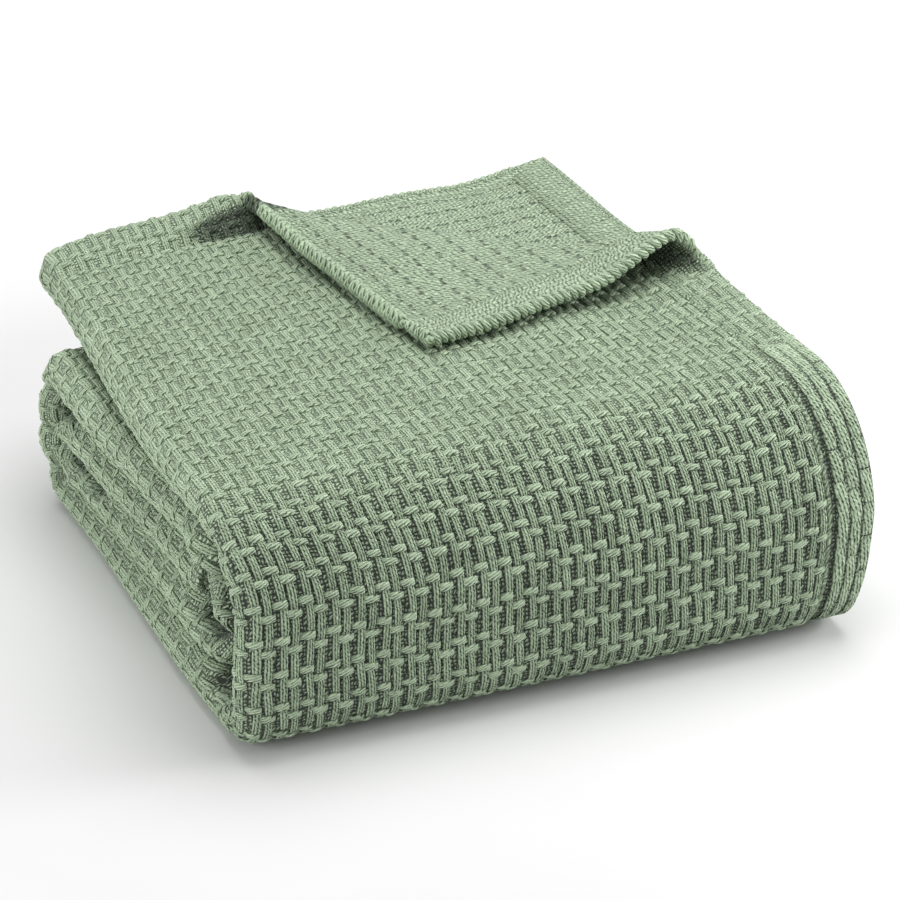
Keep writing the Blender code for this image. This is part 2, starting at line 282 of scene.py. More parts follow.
class WidthFold:
    """The four panels across the width, as places along X and off the middle of the strap."""

    def __init__(self):
        folds = math.pi * (OUTER_FOLD_RADIUS + 2.0 * INNER_FOLD_RADIUS)
        ends = 5.0 * OUTER_FOLD_RADIUS - 1.5 * LAYER_PITCH + INNER_FOLD_RADIUS
        ends += INNER_FOLD_RADIUS + 2.0 * MIDDLE_FOLD_INSET
        self.length = (CLOTH_WIDTH - folds + ends) / 4.0
        left = OUTER_FOLD_RADIUS
        right = self.length - MIDDLE_FOLD_INSET - INNER_FOLD_RADIUS
        outer, inner = OUTER_FOLD_RADIUS, INNER_FOLD_RADIUS
        # from x, to x, level at the start, level at the end, whether it is a fold
        runs = (
            (self.length, left, outer, outer, False),
            (left, left, outer, -outer, True),
            (left, right, -outer, -outer, False),
            (right, right, -outer, -inner, True),
            (right, left, -inner, -inner, False),
            (left, left, -inner, inner, True),
            (left, self.length, inner, inner, False),
        )
        self.runs = []
        start = 0.0
        for from_x, to_x, low, high, fold in runs:
            size = math.pi * abs(high - low) / 2.0 if fold else abs(to_x - from_x)
            self.runs.append((start, size, from_x, to_x, low, high, fold))
            start += size

    def place(self, across):
        """The distances from the left end and the offsets of points across the width."""
        x = np.zeros_like(across)
        offset = np.zeros_like(across)
        for index, (start, size, from_x, to_x, low, high, fold) in enumerate(self.runs):
            inside = across >= start
            if index == 0:
                inside = across < size
            share = (across[inside] - start) / size
            if fold:
                radius = abs(high - low) / 2.0
                side = -1.0 if from_x < self.length / 2.0 else 1.0
                x[inside] = from_x + side * radius * np.sin(math.pi * share)
                offset[inside] = (low + high) / 2.0 + (low - high) / 2.0 * np.cos(math.pi * share)
            else:
                x[inside] = from_x + (to_x - from_x) * share
                offset[inside] = low
        return x, offset


class TurnedCorner:
    """The rear right corner of the top layer, rolled back over a slanting crease."""

    def __init__(self, pack_length):
        self.rear = np.array((pack_length - CREASE_ALONG_REAR, 0.0))
        self.side = np.array((pack_length, CREASE_ALONG_SIDE))
        self.crease_length = np.linalg.norm(self.side - self.rear)
        self.crease = (self.side - self.rear) / self.crease_length
        self.out = np.array((self.crease[1], -self.crease[0]))

    def reach(self, x, back):
        """How far points lie past the crease, and their place along it from -1 to 1."""
        from_rear = np.column_stack((x, back)) - self.rear
        along = 2.0 * (from_rear @ self.crease) / self.crease_length - 1.0
        return from_rear @ self.out, along

    def bend(self, x, back):
        """Where points of the top layer go: new x, new distance from the rear, and lift."""
        past, along = self.reach(x, back)
        share = np.minimum(np.abs(along), CURL_WIDEST)
        end_radius = np.where(along > 0.0, CURL_RADIUS_SIDE, CURL_RADIUS_REAR)
        radius = CURL_RADIUS_MIDDLE + (end_radius - CURL_RADIUS_MIDDLE) * share ** 3
        start = -math.pi * radius / 2.0
        angle = np.clip((past - start) / radius, 0.0, math.pi)
        lift = radius * (1.0 - np.cos(angle))
        beyond = np.maximum(past - start - math.pi * radius, 0.0)
        over = start + radius * np.sin(angle) - beyond * FLAP_STRETCH
        lift -= (2.0 * radius - LAYER_PITCH) * smooth(beyond / FLAP_SETTLE)
        turned = past > start
        moved = np.column_stack((x, back)) + np.outer(over - past, self.out)
        moved += np.outer(beyond * FLAP_SLANT, self.crease)
        new_x = np.where(turned, moved[:, 0], x)
        new_back = np.where(turned, moved[:, 1], back)
        return new_x, new_back, np.where(turned, lift, 0.0)


def turn_hem(place, height, radius, width):
    """Carry places past the finished edge round it and back under the cloth."""
    angle = np.clip((HEM_START - place) / radius, 0.0, math.pi)
    under = np.maximum(HEM_START - place - math.pi * radius, 0.0)
    radius = radius * (1.0 - HEM_TAPER * smooth((under - width + HEM_START + 0.005) / 0.005))
    turned = HEM_START - radius * np.sin(angle) + under - height * np.sin(angle)
    level = height * np.cos(angle) - radius * (1.0 - np.cos(angle))
    past = place < HEM_START
    return np.where(past, turned, place), np.where(past, level, height)


class Cloth:
    """Carries places on the flat cloth onto the folded pile."""

    def __init__(self):
        self.fold = WidthFold()
        self.path = StrapPath()
        self.corner = TurnedCorner(self.fold.length)
        # The outer layer goes the longer way round each turn, and the weave keeps its spacing there
        self.along_table = np.arange(-0.05, CLOTH_LENGTH + 0.05, 0.002)
        line = self.middle(np.full(len(self.along_table), 0.235), self.along_table)
        lengths = np.concatenate(([0.0], np.cumsum(np.linalg.norm(np.diff(line, axis=0), axis=1))))
        self.laid_table = lengths - np.interp(0.0, self.along_table, lengths)

    def top_rise(self, x, back):
        """How far the top layer stands off the one beneath it, beside the turned corner."""
        past, _ = self.corner.reach(x, back)
        fade = smooth(-(past + RISE_CLEAR) / RISE_FADE)
        share = np.clip(x / self.corner.rear[0], 0.0, 1.0)
        edge = REAR_RISE_LEFT + (REAR_RISE_CURL - REAR_RISE_LEFT) * share ** 2
        depth = REAR_RISE_DEPTH * (1.0 - REAR_RISE_NARROWING * share)
        rear = edge * (1.0 - np.clip(back / depth, 0.0, 1.0) ** 1.8)
        from_peak = (back - self.corner.side[1]) / SIDE_RISE_LENGTH - SIDE_RISE_PEAK
        side = SIDE_RISE * np.exp(-(2.0 * from_peak) ** 2)
        side *= 1.0 - smooth((self.fold.length - x) / SIDE_RISE_DEPTH)
        return (rear + side) * fade

    def left_hollow(self, y, z):
        """How far the left end is pushed in, by place along Y and up."""
        window = smooth((z - CRUMPLE_LOW) / 0.008) * smooth((CRUMPLE_HIGH - z) / 0.010)
        pushed = LEFT_CRUMPLE * window * (np.sin(235.0 * y + 150.0 * z) + np.sin(97.0 * y - 210.0 * z + 1.0))
        level = (z - LOWEST_PATH) / STRAP_PITCH + 0.5
        off_groove = (level - np.round(level)) * STRAP_PITCH
        between = (level > 0.5) & (level < len(STRAPS) - 0.5)
        groove = STRAP_GROOVE * np.exp(-(off_groove / STRAP_GROOVE_HEIGHT) ** 2)
        pushed += np.where(between, groove, 0.0)
        return pushed + self.hollow_depth(y, z)

    def hollow_depth(self, y, z):
        """The part of that which belongs to the listed hollows and bulges."""
        pushed = np.zeros_like(y)
        for from_y, from_z, long, tall, lean, depth in LEFT_HOLLOWS:
            off_z = z - from_z
            off_y = y - from_y - lean * off_z
            pushed = pushed + depth * np.exp(-(off_y / long) ** 2 - (off_z / tall) ** 2)
        return pushed

    def left_depth(self, across, along):
        """How deep in a hollow of the left end a place lies."""
        x, offset = self.fold.place(np.clip(across, 0.0, CLOTH_WIDTH))
        y, z = self.path.place(along, offset)
        near = (1.0 - smooth((x - 0.006) / 0.016)) * smooth((y - OUTER_TURN_Y) / 0.008)
        return np.maximum(self.hollow_depth(y, z), 0.0) * near

    def shadow(self, across, along, height, placed):
        """The painted shade of the hollows, the curl's inside and the valley beside it, 0 to 1."""
        hollow = HOLLOW_SHADE * smooth(self.left_depth(across, along) / HOLLOW_SHADE_DEPTH)
        x, y = placed[:, 0], placed[:, 1]
        off_x = (x - VALLEY[0]) / VALLEY[2]
        off_y = (y - VALLEY[1] - (x - VALLEY[0]) * VALLEY[4]) / VALLEY[3]
        valley = smooth(1.3 * (1.0 - off_x ** 2 - off_y ** 2))
        shadow = np.maximum(hollow, np.where(placed[:, 2] > VALLEY_LOWEST, valley, 0.0))
        free = (across < self.fold.length) & (along < FREE_STRAP_LENGTH) & (height > 0.0)
        free &= (across > 2.0 * HEM_START) & (along > 2.0 * HEM_START)
        flat_x, _ = self.fold.place(np.clip(across, 0.0, CLOTH_WIDTH))
        past, _ = self.corner.reach(flat_x, along)
        mouth = 1.0 - smooth(across / CURL_MOUTH)
        into = (past + CURL_SHADE_START + CURL_MOUTH_START * mouth) / CURL_SHADE_RAMP
        inside = (CURL_SHADE + CURL_MOUTH_SHADE * mouth) * smooth(into)
        return np.maximum(shadow, np.where(free, inside, 0.0))

    def settle(self, x, y, z):
        """Lean and swell the whole pile, leaving its underside flat."""
        off_floor = z - CLOTH_THICKNESS / 2.0
        up = off_floor / STACK_HEIGHT
        left = 1.0 - smooth((x - LEFT_END_X) / LEFT_DEPTH)
        right = np.maximum((x - LEFT_END_X - self.fold.length) / HEM_SWELL_LENGTH + 1.0, 0.0)
        blend = smooth((LOW_LEFT_BLEND_Y - y) / LOW_LEFT_BLEND_DEPTH)
        spread = LOW_LEFT_GAP + LOW_LEFT_BLEND * blend
        low_left = left * smooth((LOW_LEFT_FROM - up) / spread + 0.5)
        x_out = x + SKEW * y * (1.0 - (1.0 - LOW_LEFT_SKEW) * low_left) - LOW_LEFT_SWELL * low_left
        x_out += LEFT_RIPPLE * left * np.sin(55.0 * z + 17.0 * y)
        x_out -= LOW_RIGHT_TUCK * right * (1.0 - smooth(2.0 * up))
        near_left = 1.0 - smooth((x - LEFT_END_X) / LEFT_HOLLOW_REACH)
        near_left *= smooth((y - OUTER_TURN_Y) / 0.008)
        x_out += near_left * self.left_hollow(y, z)
        soft_x = np.clip(1.0 - (x - LEFT_END_X) / SOFT_CORNER, 0.0, 1.0)
        soft_y = np.clip(1.0 - (STRAPS[0][2] - y) / SOFT_CORNER, 0.0, 1.0)
        soft = soft_x ** 2 * soft_y ** 2 * smooth((up - 0.75) / 0.2)
        x_out += SOFT_CORNER_DRAW * soft
        y_out = y * (1.0 + FAN * x)
        crown = TOP_CROWN * up * (1.0 - (2.0 * x / TOP_CROWN_LENGTH) ** 2) * np.cos(8.0 * y)
        wave = LAYER_WAVE * np.sin(21.0 * x + 9.0 * y + 0.6) * np.sin(3.0 * up)
        lift = REAR_LIFT * smooth((up - REAR_LIFT_LEVEL) / 0.3) * smooth(y / REAR_LIFT_Y - 1.0)
        uneven = UNEVEN * (np.sin(70.0 * x + 31.0 * y + 40.0 * z) + np.sin(23.0 * x - 62.0 * y + 50.0 * z))
        z_out = z + off_floor * HEM_SWELL * right + crown + wave + lift - SOFT_CORNER_DROP * soft
        z_out += uneven * smooth(2.0 * up)
        y_out += uneven * smooth(2.0 * up)
        return np.column_stack((x_out - MIDDLE[0], y_out - MIDDLE[1], z_out))

    def laid(self, along):
        """The length of outer layer up to a place along the roll."""
        return np.interp(along, self.along_table, self.laid_table)

    def rolled(self, laid):
        """The place along the roll that a length of outer layer reaches."""
        return np.interp(laid, self.laid_table, self.along_table)

    def open_part(self, across, along):
        """1 on the turned corner and on what it uncovers, 0 elsewhere."""
        x, _ = self.fold.place(np.clip(across, 0.0, CLOTH_WIDTH))
        outer_layers = across < self.fold.length
        past, _ = self.corner.reach(x, np.maximum(along, 0.0))
        return np.where(outer_layers & (along < FREE_STRAP_LENGTH), smooth(past / 0.012), 0.0)

    def middle(self, across, along):
        """Points on the middle of the cloth."""
        x, offset = self.fold.place(across)
        lift = np.zeros_like(across)
        free = (across < self.fold.length - OUTER_FOLD_RADIUS) & (along < FREE_STRAP_LENGTH)
        rise = self.top_rise(x[free], along[free])
        bent_x, bent_along, bent_lift = self.corner.bend(x[free], along[free])
        start, size = self.fold.runs[1][:2]
        folding = (across >= start) & (across < start + size) & (along < FREE_STRAP_LENGTH)
        fading = 1.0 - smooth(1.25 * (across[folding] - start) / size)
        lift[folding] = self.top_rise(x[folding], along[folding]) * fading
        x, along = x.copy(), along.copy()
        x[free], along[free], lift[free] = bent_x, bent_along, bent_lift + rise
        y, z = self.path.place(along, offset + lift)
        return self.settle(x + LEFT_END_X, y, z)

    def stand(self, across, along, height):
        """Points off the middle of the cloth, towards its face, or its back if negative."""
        radius = HEM_RADIUS + (OPEN_HEM_RADIUS - HEM_RADIUS) * self.open_part(across, along)
        inside_hem = np.minimum(across, CLOTH_WIDTH - across)
        height = height * np.where(inside_hem < SIDE_HEM, HEM_FLATNESS, 1.0)
        dip = STITCH_DIP * np.exp(-((inside_hem - SIDE_HEM) / STITCH_DIP_WIDTH) ** 2)
        height = height - dip * np.where(across < CLOTH_WIDTH / 2.0, 1.0, -0.25)
        far = across > CLOTH_WIDTH / 2.0
        edge, height = turn_hem(np.where(far, CLOTH_WIDTH - across, across), height, radius, SIDE_HEM)
        across = np.where(far, CLOTH_WIDTH - edge, edge)
        far = along > CLOTH_LENGTH / 2.0
        edge, height = turn_hem(np.where(far, CLOTH_LENGTH - along, along), height, radius, END_HEM)
        along = np.where(far, CLOTH_LENGTH - edge, edge)
        step = NORMAL_STEP
        middle = self.middle(across, along)
        side = self.middle(across + step, along) - self.middle(across - step, along)
        ahead = self.middle(across, along + step) - self.middle(across, along - step)
        normal = np.cross(side, ahead)
        normal /= np.linalg.norm(normal, axis=1)[:, None]
        placed = middle + normal * height[:, None]
        placed[:, 2] = np.maximum(placed[:, 2], FLOOR_GAP)
        return placed


cloth = Cloth()


def carry(mesh):
    """Move a mesh laid out flat, as across, length and height, onto the folded pile."""
    flat = np.empty(len(mesh.vertices) * 3)
    mesh.vertices.foreach_get("co", flat)
    flat = flat.reshape(-1, 3)
    rolled = cloth.rolled(flat[:, 1])
    placed = cloth.stand(flat[:, 0], rolled, flat[:, 2])
    mesh.vertices.foreach_set("co", placed.ravel())
    shadow = mesh.attributes.new("shadow", "FLOAT", "POINT")
    shadow.data.foreach_set("value", cloth.shadow(flat[:, 0], rolled, flat[:, 2], placed))
    mesh.update()


def add_object(name, mesh):
    thing = bpy.data.objects.new(name, mesh)
    bpy.context.scene.collection.objects.link(thing)
    return thing


# Shaders


class Socket:
    """A node's output, with the arithmetic that makes Math nodes."""

    def __init__(self, shader, output):
        self.shader = shader
        self.output = output

    def combine(self, operation, *given):
        values = dict(enumerate(given))
        return self.shader.add("ShaderNodeMath", {"operation": operation}, values)

    def __add__(self, other):
        return self.combine("ADD", self, other)

    def __sub__(self, other):
        return self.combine("SUBTRACT", self, other)

    def __mul__(self, other):
        return self.combine("MULTIPLY", self, other)

    def __truediv__(self, other):
        return self.combine("DIVIDE", self, other)

    def __pow__(self, other):
        return self.combine("POWER", self, other)

    def __radd__(self, other):
        return self.combine("ADD", other, self)

    def __rsub__(self, other):
        return self.combine("SUBTRACT", other, self)

    def __rmul__(self, other):
        return self.combine("MULTIPLY", other, self)

    def sine(self):
        return self.combine("SINE", self)

    def size(self):
        return self.combine("ABSOLUTE", self)

    def at_least(self, low):
        return self.combine("MAXIMUM", self, low)

    def at_most(self, high):
        return self.combine("MINIMUM", self, high)


class Shader:
    """One material's node tree, with its Principled BSDF."""

    def __init__(self, name):
        self.material = bpy.data.materials.new(name)
        self.material.use_nodes = True
        self.tree = self.material.node_tree
        self.surface = self.tree.nodes["Principled BSDF"]

    def add(self, kind, settings=None, inputs=None, output=0):
        node = self.tree.nodes.new(kind)
        for key, value in (settings or {}).items():
            setattr(node, key, value)
        for key, value in (inputs or {}).items():
            self.feed(node, key, value)
        return Socket(self, node.outputs[output])

    def feed(self, node, key, value):
        if isinstance(value, Socket):
            self.tree.links.new(value.output, node.inputs[key])
        else:
            node.inputs[key].default_value = value

    def ramp(self, factor, stops):
        socket = self.add("ShaderNodeValToRGB", {}, {"Fac": factor})
        elements = socket.output.node.color_ramp.elements
        while len(elements) < len(stops):
            elements.new(0.5)
        for element, (position, colour) in zip(elements, stops):
            element.position = position
            element.color = colour
        return socket

    def apart(self, vector):
        node = self.add("ShaderNodeSeparateXYZ", {}, {0: vector}).output.node
        return [Socket(self, output) for output in node.outputs]

    def uv(self, name):
        return self.apart(self.add("ShaderNodeUVMap", {"uv_map": name}))[:2]

    def noise(self, scale, detail, vector):
        values = {"Vector": vector, "Scale": scale, "Detail": detail}
        return self.add("ShaderNodeTexNoise", {}, values)

    def position(self):
        return self.add("ShaderNodeTexCoord", {}, {}, output="Object")

    def open_and_shaded(self, place):
        """How far the weave is drawn open round the front of the roll, 0 to 1; the same mask darkens the
        front with painted shade.
        """
        forward = (OPEN_SHADE_FROM_Y - self.apart(place)[1]) / OPEN_SHADE_DEPTH
        return forward.at_least(0.0).at_most(1.0)

    def attribute(self, name):
        return self.add("ShaderNodeAttribute", {"attribute_name": name}, {}, output="Fac")

    def bump(self, height, distance):
        return self.add("ShaderNodeBump", {}, {"Height": height, "Distance": distance})

    def cotton(self, colour, roughness, normal):
        self.feed(self.surface, "Base Color", colour)
        self.feed(self.surface, "Roughness", roughness)
        self.feed(self.surface, "Normal", normal)
        self.surface.inputs["Sheen Weight"].default_value = 0.25
        self.surface.inputs["Sheen Roughness"].default_value = 0.6
        self.surface.inputs["Sheen Tint"].default_value = (0.80, 0.90, 0.76, 1.0)
        self.surface.inputs["Specular IOR Level"].default_value = 0.25
        return self.material


YARN_SHADE = (0.018, 0.025, 0.016, 1.0)
YARN_DARK = (0.120, 0.162, 0.104, 1.0)
YARN_MIDDLE = (0.380, 0.492, 0.330, 1.0)
YARN_LIGHT = (0.600, 0.740, 0.525, 1.0)
YARN_STOPS = ((0.05, YARN_SHADE), (0.30, YARN_DARK), (0.62, YARN_MIDDLE), (1.00, YARN_LIGHT))
GROUND_STOPS = ((0.12, YARN_SHADE), (0.36, YARN_DARK), (0.66, YARN_MIDDLE), (1.00, YARN_LIGHT))
FIBRES = 1150.0            # scale of the fibre noise
WANDERS = 420.0            # scale of the strands' unevenness
DOT_STEP = 0.0020          # from one dot of the plain ground to the next
OPEN_SHADE_FROM_Y = -0.118       # in front of this the cloth bends, its weave opens and it takes painted shade
OPEN_SHADE_DEPTH = 0.045
CLOUDS = 38.0              # scale of the slow colour change


def yarn_material(name, strands, slant, twist, painted_front_light):
    """Loosely twisted strands side by side: U across the bundle, V along it in strand widths. The grooves
    and edges carry painted shade, and the last argument paints light or shade onto the whole bundle, mostly
    on the front of the roll.
    """
    shader = Shader(name)
    across, along = shader.uv("yarn")
    place = shader.position()
    tone = shader.attribute("tone")
    open_and_shaded = shader.open_and_shaded(place)
    wander = shader.noise(WANDERS, 1.0, place)
    cloud = shader.noise(CLOUDS, 2.0, place)
    over = across * strands + along * slant
    streak_place = shader.add("ShaderNodeCombineXYZ", {}, {0: over * 1.6, 1: along * 0.55, 2: tone * 90.0})
    streak = shader.noise(1.0, 3.0, streak_place)
    strand = ((over + (wander - 0.5) * 0.7) * math.pi).sine().size()
    ply = ((over * 0.7 + along * twist + wander * 1.5) * math.pi).sine().size()
    # Painted shade: the grooves between strands and the bundle's edges are darkened, most on the front of
    # the roll.
    dash = (1.0 - strand * 1.25).at_least(0.0) * (1.20 - ply * 0.7)
    edge = 1.0 - ((across * math.pi).sine() * 3.0).at_most(1.0)
    dark = dash * (open_and_shaded * 0.34 + 0.28) + edge * (open_and_shaded * 0.40 + 0.06)
    lightness = ply * 0.14 + 0.52 - dark + (streak - 0.5) * 0.85 + tone * 0.12 + cloud * 0.14
    # Painted highlight on the bars and painted shade on the columns, as if lit from above, mostly on the
    # front of the roll; the front is also darkened a little.
    lightness = lightness + (open_and_shaded * 0.8 + 0.2) * painted_front_light - open_and_shaded * 0.05
    lightness = lightness - shader.attribute("shadow") * YARN_SHADOW
    colour = shader.ramp(lightness, YARN_STOPS)
    height = ply * 0.25 - dash * 0.75 + streak * 0.45 - edge * 0.4
    normal = shader.bump(height, 0.0012)
    return shader.cotton(colour, 0.88, normal)


def ground_material(name):
    """The plain ground between the floats: small dots with dark pits between them; the pits, the front of
    the roll and the seam's groove are darkened with painted shade.
    """
    shader = Shader(name)
    across, along = shader.uv("cloth")
    place = shader.position()
    fibre = shader.noise(FIBRES, 3.0, place)
    wander = shader.noise(330.0, 1.0, place)
    cloud = shader.noise(CLOUDS, 2.0, place)
    open_and_shaded = shader.open_and_shaded(place)
    warp = (across * (math.pi / DOT_STEP) + wander * 5.0).sine()
    weft = (along * (math.pi / DOT_STEP) + wander * 5.0).sine()
    dots = (warp * weft).size() ** 1.1
    off_seam = (across - SIDE_HEM) / 0.0020
    seam = (1.0 - off_seam * off_seam).at_least(0.0)
    # Painted shade: dark between the dots, darker on the front of the roll and in the groove the seam draws
    # in.
    lightness = dots * 0.80 + (fibre - 0.5) * 0.60 + cloud * 0.14 + 0.28 - open_and_shaded * 0.44 - seam * 0.35
    lightness = lightness - shader.attribute("shadow") * GROUND_SHADOW
    colour = shader.ramp(lightness, GROUND_STOPS)
    normal = shader.bump(dots * 1.1 + fibre * 0.3, 0.0014)
    return shader.cotton(colour, 0.92, normal)


def back_material(name, pit_depth):
    """The flat back of the weave: short slanting strokes, and two soft pits a repeat, darkened with painted
    shade.
    """
    shader = Shader(name)
    across, along = shader.uv("cloth")
    place = shader.position()
    fibre = shader.noise(720.0, 3.0, place)
    wander = shader.noise(200.0, 1.0, place)
    cloud = shader.noise(CLOUDS, 2.0, place)
    pits = None
    for pit_across, pit_along in PITS:
        off_across = ((across / REPEAT_ACROSS + wander * 0.12 - pit_across) * math.pi).sine() ** 2.0
        off_along = ((along / REPEAT_ALONG + wander * 0.12 - pit_along) * math.pi).sine() ** 2.0
        wide = math.sin(math.pi * PIT_RADIUS / REPEAT_ACROSS) ** 2
        long = math.sin(math.pi * PIT_RADIUS / REPEAT_ALONG) ** 2
        pit = 1.0 - (off_across / wide + off_along / long + (fibre - 0.5) * 1.4).at_most(1.0)
        pits = pit if pits is None else pits.combine("MAXIMUM", pits, pit)
    sway = wander * 2.2 + fibre * 0.8
    strokes = ((across / 0.0040 + along / 0.0027 + sway) * math.pi).sine().size()
    cell_across = (across * (4.0 * math.pi / REPEAT_ACROSS) + wander * 2.0).sine()
    cell_along = (along * (4.0 * math.pi / REPEAT_ALONG) + wander * 2.0).sine()
    cells = (cell_across * cell_along).size() ** 0.6
    lightness = strokes * 0.46 + cells * 0.30 + (fibre - 0.5) * 0.95 + cloud * 0.12 + 0.10
    # Painted shade in the pits, scaled by the pit depth.
    lightness = lightness - pits * (0.34 * pit_depth) - shader.attribute("shadow") * BACK_SHADOW
    colour = shader.ramp(lightness, YARN_STOPS)
    height = strokes * 0.40 + cells * 0.60 + fibre * 0.40 - pits * (0.9 * pit_depth)
    normal = shader.bump(height, 0.0019)
    return shader.cotton(colour, 0.92, normal)


# The sheet


def spread(start, ends, cells):
    """Places from the start to the last end, evenly spaced between each two ends."""
    places = [start]
    for end, count in zip(ends, cells):
        start = places[-1]
        places += [start + (end - start) * step / count for step in range(1, count + 1)]
    return np.array(places)


def make_sheet(face, back, hem):
    """The cloth itself: one closed sheet on its folds, with a line at every few millimetres."""
    turned_cells = CELLS_ACROSS[0]
    turn = HEM_START - math.pi * OPEN_HEM_RADIUS
    run_ends = [start + size for start, size, *_ in cloth.fold.runs]
    side_ends = [turn, HEM_START, SIDE_HEM] + run_ends[:-1]
    side_ends += [CLOTH_WIDTH - SIDE_HEM, CLOTH_WIDTH - HEM_START, CLOTH_WIDTH - turn,
                  CLOTH_WIDTH - turn + SIDE_HEM - HEM_START]
    across = spread(turn - SIDE_HEM + HEM_START, side_ends, CELLS_ACROSS)
    end_ends = [turn, HEM_START, REAR_BAND] + cloth.path.ends[:-1]
    end_ends += [CLOTH_LENGTH - HEM_START, CLOTH_LENGTH - turn, CLOTH_LENGTH - turn + END_HEM - HEM_START]
    along = cloth.laid(spread(turn - END_HEM + HEM_START, end_ends, CELLS_ALONG))
    columns, rows = len(across), len(along)
    wide, long = np.meshgrid(across, along)
    count = columns * rows
    points = np.zeros((2 * count, 3))
    points[:, 0] = np.tile(wide.ravel(), 2)
    points[:, 1] = np.tile(long.ravel(), 2)
    points[:count, 2] = GROUND_HEIGHT
    points[count:, 2] = -GROUND_HEIGHT
    corners = []
    sides = []             # 0 for the face, 1 for the back, 2 for the turned hem
    for row in range(rows - 1):
        for column in range(columns - 1):
            first = row * columns + column
            cell = (first, first + 1, first + columns + 1, first + columns)
            turned = column < turned_cells or column >= columns - 1 - turned_cells or row < CELLS_ALONG[0]
            corners.append(cell)
            sides.append(2 if turned else 0)
            corners.append(tuple(count + point for point in reversed(cell)))
            sides.append(1)
    rim = list(range(columns))
    rim += [row * columns + columns - 1 for row in range(1, rows)]
    rim += [(rows - 1) * columns + column for column in range(columns - 2, -1, -1)]
    rim += [row * columns for row in range(rows - 2, 0, -1)]
    for first, second in zip(rim, rim[1:] + rim[:1]):
        corners.append((second, first, count + first, count + second))
        sides.append(1)
    data = bpy.data.meshes.new("blanket_sheet")
    data.from_pydata(points.tolist(), [], corners)
    layer = data.uv_layers.new(name="cloth")
    loops = np.empty(len(data.loops), dtype=np.int64)
    data.loops.foreach_get("vertex_index", loops)
    layer.data.foreach_set("uv", points[loops, :2].ravel())
    data.polygons.foreach_set("material_index", sides)
    data.materials.append(face)
    data.materials.append(back)
    data.materials.append(hem)
    data.shade_smooth()
    carry(data)
    return add_object("blanket_sheet", data)


# The floats

# Their shapes, as shares of the length, the width and the height
BAR_LEFT = (
    # along, width, height
    (0.00, 0.45, 0.00),
    (0.14, 0.72, 0.52),
    (0.34, 0.92, 0.84),
    (0.58, 1.00, 1.00),
    (0.80, 1.00, 0.92),
    (0.93, 0.92, 0.66),
    (1.00, 0.80, 0.10),
)
BAR_RIGHT = (
    # along, width, height
    (0.00, 0.78, 0.10),
    (0.08, 0.92, 0.70),
    (0.24, 1.00, 0.95),
    (0.45, 1.00, 1.00),
    (0.68, 0.94, 0.82),
    (0.87, 0.80, 0.48),
    (1.00, 0.60, 0.00),
)
COLUMN = (
    # along, width, height
    (0.00, 0.86, 0.30),
    (0.09, 0.94, 0.66),
    (0.26, 1.00, 0.93),
    (0.50, 1.00, 1.00),
    (0.74, 1.00, 0.93),
    (0.91, 0.94, 0.66),
    (1.00, 0.86, 0.30),
)
UNDERSIDE = (
    # along, width, height
    (0.00, 0.80, 0.20),
    (0.25, 1.00, 0.95),
    (0.75, 1.00, 0.95),
    (1.00, 0.80, 0.20),
)
STRAND_DEPTH = 0.0005      # how deep the groove between two strands of a column is


def float_object(name, shape, length, width, low, high, strands, depth, runs_across, lean=0.0):
    """A bundle of strands, flat: it rises from the ground, runs level and dives again."""
    points, corners, places = [], [], []
    count = 2 * strands + 1
    for along, wide, tall in shape:
        for line in range(count):
            over = 2.0 * line / (count - 1) - 1.0
            crown = math.sqrt(1.0 - (0.80 * over) ** 2)
            top = low + (high - low) * tall * (0.35 + 0.65 * crown)
            if line % 2 == 0:
                top -= depth * tall
            if line in (0, count - 1):
                top = low + (high - low) * tall * 0.15
            points.append((width / 2.0 * wide * over, (along - 0.5) * length, top))
            places.append((line / (count - 1), along * length / 0.0011))
    steps = len(shape) - 1
    for step in range(steps):
        for line in range(count - 1):
            first = step * count + line
            corners.append((first, first + 1, first + count + 1, first + count))
        first = step * count
        corners.append((first + count - 1, first, first + count, first + 2 * count - 1))
    corners.append(tuple(range(count - 1, -1, -1)))
    corners.append(tuple(range(steps * count, (steps + 1) * count)))
    if runs_across:
        points = [(-along, over - lean * along, height) for over, along, height in points]
    else:
        points = [(over + lean * along, along, height) for over, along, height in points]
    mesh = bpy.data.meshes.new(name)
    mesh.from_pydata(points, [], corners)
    layer = mesh.uv_layers.new(name="yarn")
    for loop in mesh.loops:
        layer.data[loop.index].uv = places[loop.vertex_index]
    mesh.shade_smooth()
    return add_object(name, mesh)


